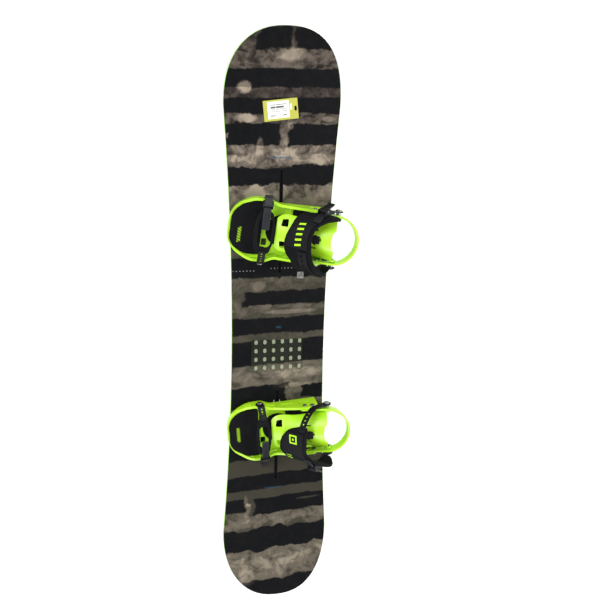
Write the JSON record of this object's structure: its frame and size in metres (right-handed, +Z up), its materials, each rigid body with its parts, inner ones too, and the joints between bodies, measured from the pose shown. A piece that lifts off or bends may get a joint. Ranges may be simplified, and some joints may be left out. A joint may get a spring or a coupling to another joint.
{
  "type": "snowboard with bindings",
  "caption": "Twin-tip snowboard with channel mounting and strap bindings: folding highbacks, swinging ankle and toe straps and ratchet levers.",
  "frame": {"origin": "middle of the flat running base, on the base plane, halfway between nose and tail", "axes": "+Y to the nose along the length, +X to the heel edge, +Z up out of the topsheet"},
  "size_m": [0.3302, 1.5398, 0.1355],
  "materials": {
    "base_plastic": "sintered base, satin",
    "edge_steel": "ground steel",
    "core_wood": "raw laminate",
    "sidewall_lime": "satin",
    "topsheet_print": "semi-gloss printed sheet, dark bands on taupe",
    "channel_black": "matte",
    "clear_rubber": "translucent",
    "card": "printed card",
    "lime_nylon": "satin moulded nylon",
    "black_nylon": "satin moulded nylon",
    "grey_urethane": "satin",
    "foam": "closed-cell foam, ribbed",
    "strap_fabric": "padded synthetic",
    "steel_zinc": "zinc-plated",
    "lever_black": "satin moulded nylon with glass"
  },
  "bodies": {
    "board": {"base": "base_plastic", "steel_edges": "edge_steel", "core": "core_wood", "sidewalls": "sidewall_lime", "topsheet": "topsheet_print", "channel_tracks": "channel_black", "channel_covers": "channel_black", "stomp_pad": "clear_rubber", "price_label": "card"},
    "front_disc": {"front_mounting_disc": "black_nylon", "front_disc_screws": "steel_zinc", "front_channel_nuts": "steel_zinc"},
    "front_tray": {"front_baseplate": "lime_nylon", "front_toe_footbed": "foam", "front_heel_footbed": "foam", "front_heel_hoop": "lime_nylon", "front_base_bolts": "steel_zinc", "front_pivot_bolts": "steel_zinc"},
    "front_backrest": {"front_highback": "lime_nylon", "front_highback_pad": "foam"},
    "front_lean_slider": {"front_lean_adjuster": "black_nylon"},
    "front_ankle_loop": {"front_ankle_pad": "strap_fabric", "front_ankle_cover": "grey_urethane", "front_ankle_connector": "black_nylon", "front_ankle_ladder": "grey_urethane", "front_ankle_buckle": "black_nylon", "front_ankle_axle": "steel_zinc"},
    "front_ankle_ratchet": {"front_ankle_lever": "lever_black"},
    "front_toe_loop": {"front_toe_cap": "strap_fabric", "front_toe_connector": "black_nylon", "front_toe_ladder": "grey_urethane", "front_toe_buckle": "black_nylon", "front_toe_axle": "steel_zinc"},
    "front_toe_ratchet": {"front_toe_lever": "lever_black"},
    "rear_disc": {"rear_mounting_disc": "black_nylon", "rear_disc_screws": "steel_zinc", "rear_channel_nuts": "steel_zinc"},
    "rear_tray": {"rear_baseplate": "lime_nylon", "rear_toe_footbed": "foam", "rear_heel_footbed": "foam", "rear_heel_hoop": "lime_nylon", "rear_base_bolts": "steel_zinc", "rear_pivot_bolts": "steel_zinc"},
    "rear_backrest": {"rear_highback": "lime_nylon", "rear_highback_pad": "foam"},
    "rear_lean_slider": {"rear_lean_adjuster": "black_nylon"},
    "rear_ankle_loop": {"rear_ankle_pad": "strap_fabric", "rear_ankle_cover": "grey_urethane", "rear_ankle_connector": "black_nylon", "rear_ankle_ladder": "grey_urethane", "rear_ankle_buckle": "black_nylon", "rear_ankle_axle": "steel_zinc"},
    "rear_ankle_ratchet": {"rear_ankle_lever": "lever_black"},
    "rear_toe_loop": {"rear_toe_cap": "strap_fabric", "rear_toe_connector": "black_nylon", "rear_toe_ladder": "grey_urethane", "rear_toe_buckle": "black_nylon", "rear_toe_axle": "steel_zinc"},
    "rear_toe_ratchet": {"rear_toe_lever": "lever_black"}
  },
  "joints": [
    {"name": "front_stance_slide", "type": "slide", "parent": "board", "child": "front_disc", "axis": [0, 1, 0], "range_m": [-0.03, 0.03]},
    {"name": "front_stance_angle", "type": "hinge", "parent": "front_disc", "child": "front_tray", "pos_m": [0, 0.276, 0.014], "axis": [0, 0, 1], "range_deg": [-15, 15]},
    {"name": "front_highback_fold", "type": "hinge", "parent": "front_tray", "child": "front_backrest", "pos_m": [0.12705, 0.2604, 0.068], "axis": [0.1219, 0.9925, 0], "range_deg": [0, 90]},
    {"name": "front_lean_slide", "type": "slide", "parent": "front_backrest", "child": "front_lean_slider", "axis": [-0.9631, 0.1182, -0.2419], "range_m": [-0.003, 0.015]},
    {"name": "front_ankle_swing", "type": "hinge", "parent": "front_tray", "child": "front_ankle_loop", "pos_m": [0.12705, 0.2604, 0.068], "axis": [0.1219, 0.9925, 0], "range_deg": [0, 90]},
    {"name": "front_ankle_ratchet", "type": "hinge", "parent": "front_ankle_loop", "child": "front_ankle_ratchet", "pos_m": [0.08698, 0.34106, 0.10441], "axis": [0.6769, -0.0831, 0.7314], "range_deg": [0, 60], "stiffness_Nm_per_rad": 0.02, "springref_deg": -17.19},
    {"name": "front_toe_swing", "type": "hinge", "parent": "front_tray", "child": "front_toe_loop", "pos_m": [-0.04764, 0.28185, 0.038], "axis": [-0.1219, -0.9925, 0], "range_deg": [-2, 20]},
    {"name": "front_toe_ratchet", "type": "hinge", "parent": "front_toe_loop", "child": "front_toe_ratchet", "pos_m": [-0.04315, 0.34996, 0.06537], "axis": [0.9829, -0.1207, 0.1392], "range_deg": [0, 55], "stiffness_Nm_per_rad": 0.01, "springref_deg": -17.19},
    {"name": "rear_stance_slide", "type": "slide", "parent": "board", "child": "rear_disc", "axis": [0, 1, 0], "range_m": [-0.03, 0.03]},
    {"name": "rear_stance_angle", "type": "hinge", "parent": "rear_disc", "child": "rear_tray", "pos_m": [0, -0.267, 0.014], "axis": [0, 0, 1], "range_deg": [-15, 15]},
    {"name": "rear_highback_fold", "type": "hinge", "parent": "rear_tray", "child": "rear_backrest", "pos_m": [0.12769, -0.25807, 0.068], "axis": [-0.0698, 0.9976, 0], "range_deg": [0, 90]},
    {"name": "rear_lean_slide", "type": "slide", "parent": "rear_backrest", "child": "rear_lean_slider", "axis": [-0.9679, -0.0677, -0.2419], "range_m": [-0.003, 0.015]},
    {"name": "rear_ankle_swing", "type": "hinge", "parent": "rear_tray", "child": "rear_ankle_loop", "pos_m": [0.12769, -0.25807, 0.068], "axis": [-0.0698, 0.9976, 0], "range_deg": [0, 90]},
    {"name": "rear_ankle_ratchet", "type": "hinge", "parent": "rear_ankle_loop", "child": "rear_ankle_ratchet", "pos_m": [0.07988, -0.35507, 0.10894], "axis": [-0.6803, -0.0476, -0.7314], "range_deg": [0, 60], "stiffness_Nm_per_rad": 0.02, "springref_deg": -17.19},
    {"name": "rear_toe_swing", "type": "hinge", "parent": "rear_tray", "child": "rear_toe_loop", "pos_m": [-0.04788, -0.27035, 0.038], "axis": [0.0698, -0.9976, 0], "range_deg": [-1, 30]},
    {"name": "rear_toe_ratchet", "type": "hinge", "parent": "rear_toe_loop", "child": "rear_toe_ratchet", "pos_m": [-0.0399, -0.33907, 0.06816], "axis": [-0.9921, -0.0694, 0.1045], "range_deg": [0, 55], "stiffness_Nm_per_rad": 0.01, "springref_deg": -17.19}
  ],
  "couplings": [
    {"joint": "front_ankle_swing", "follows": "front_highback_fold", "ratio": 1},
    {"joint": "rear_ankle_swing", "follows": "rear_highback_fold", "ratio": 1}
  ]
}
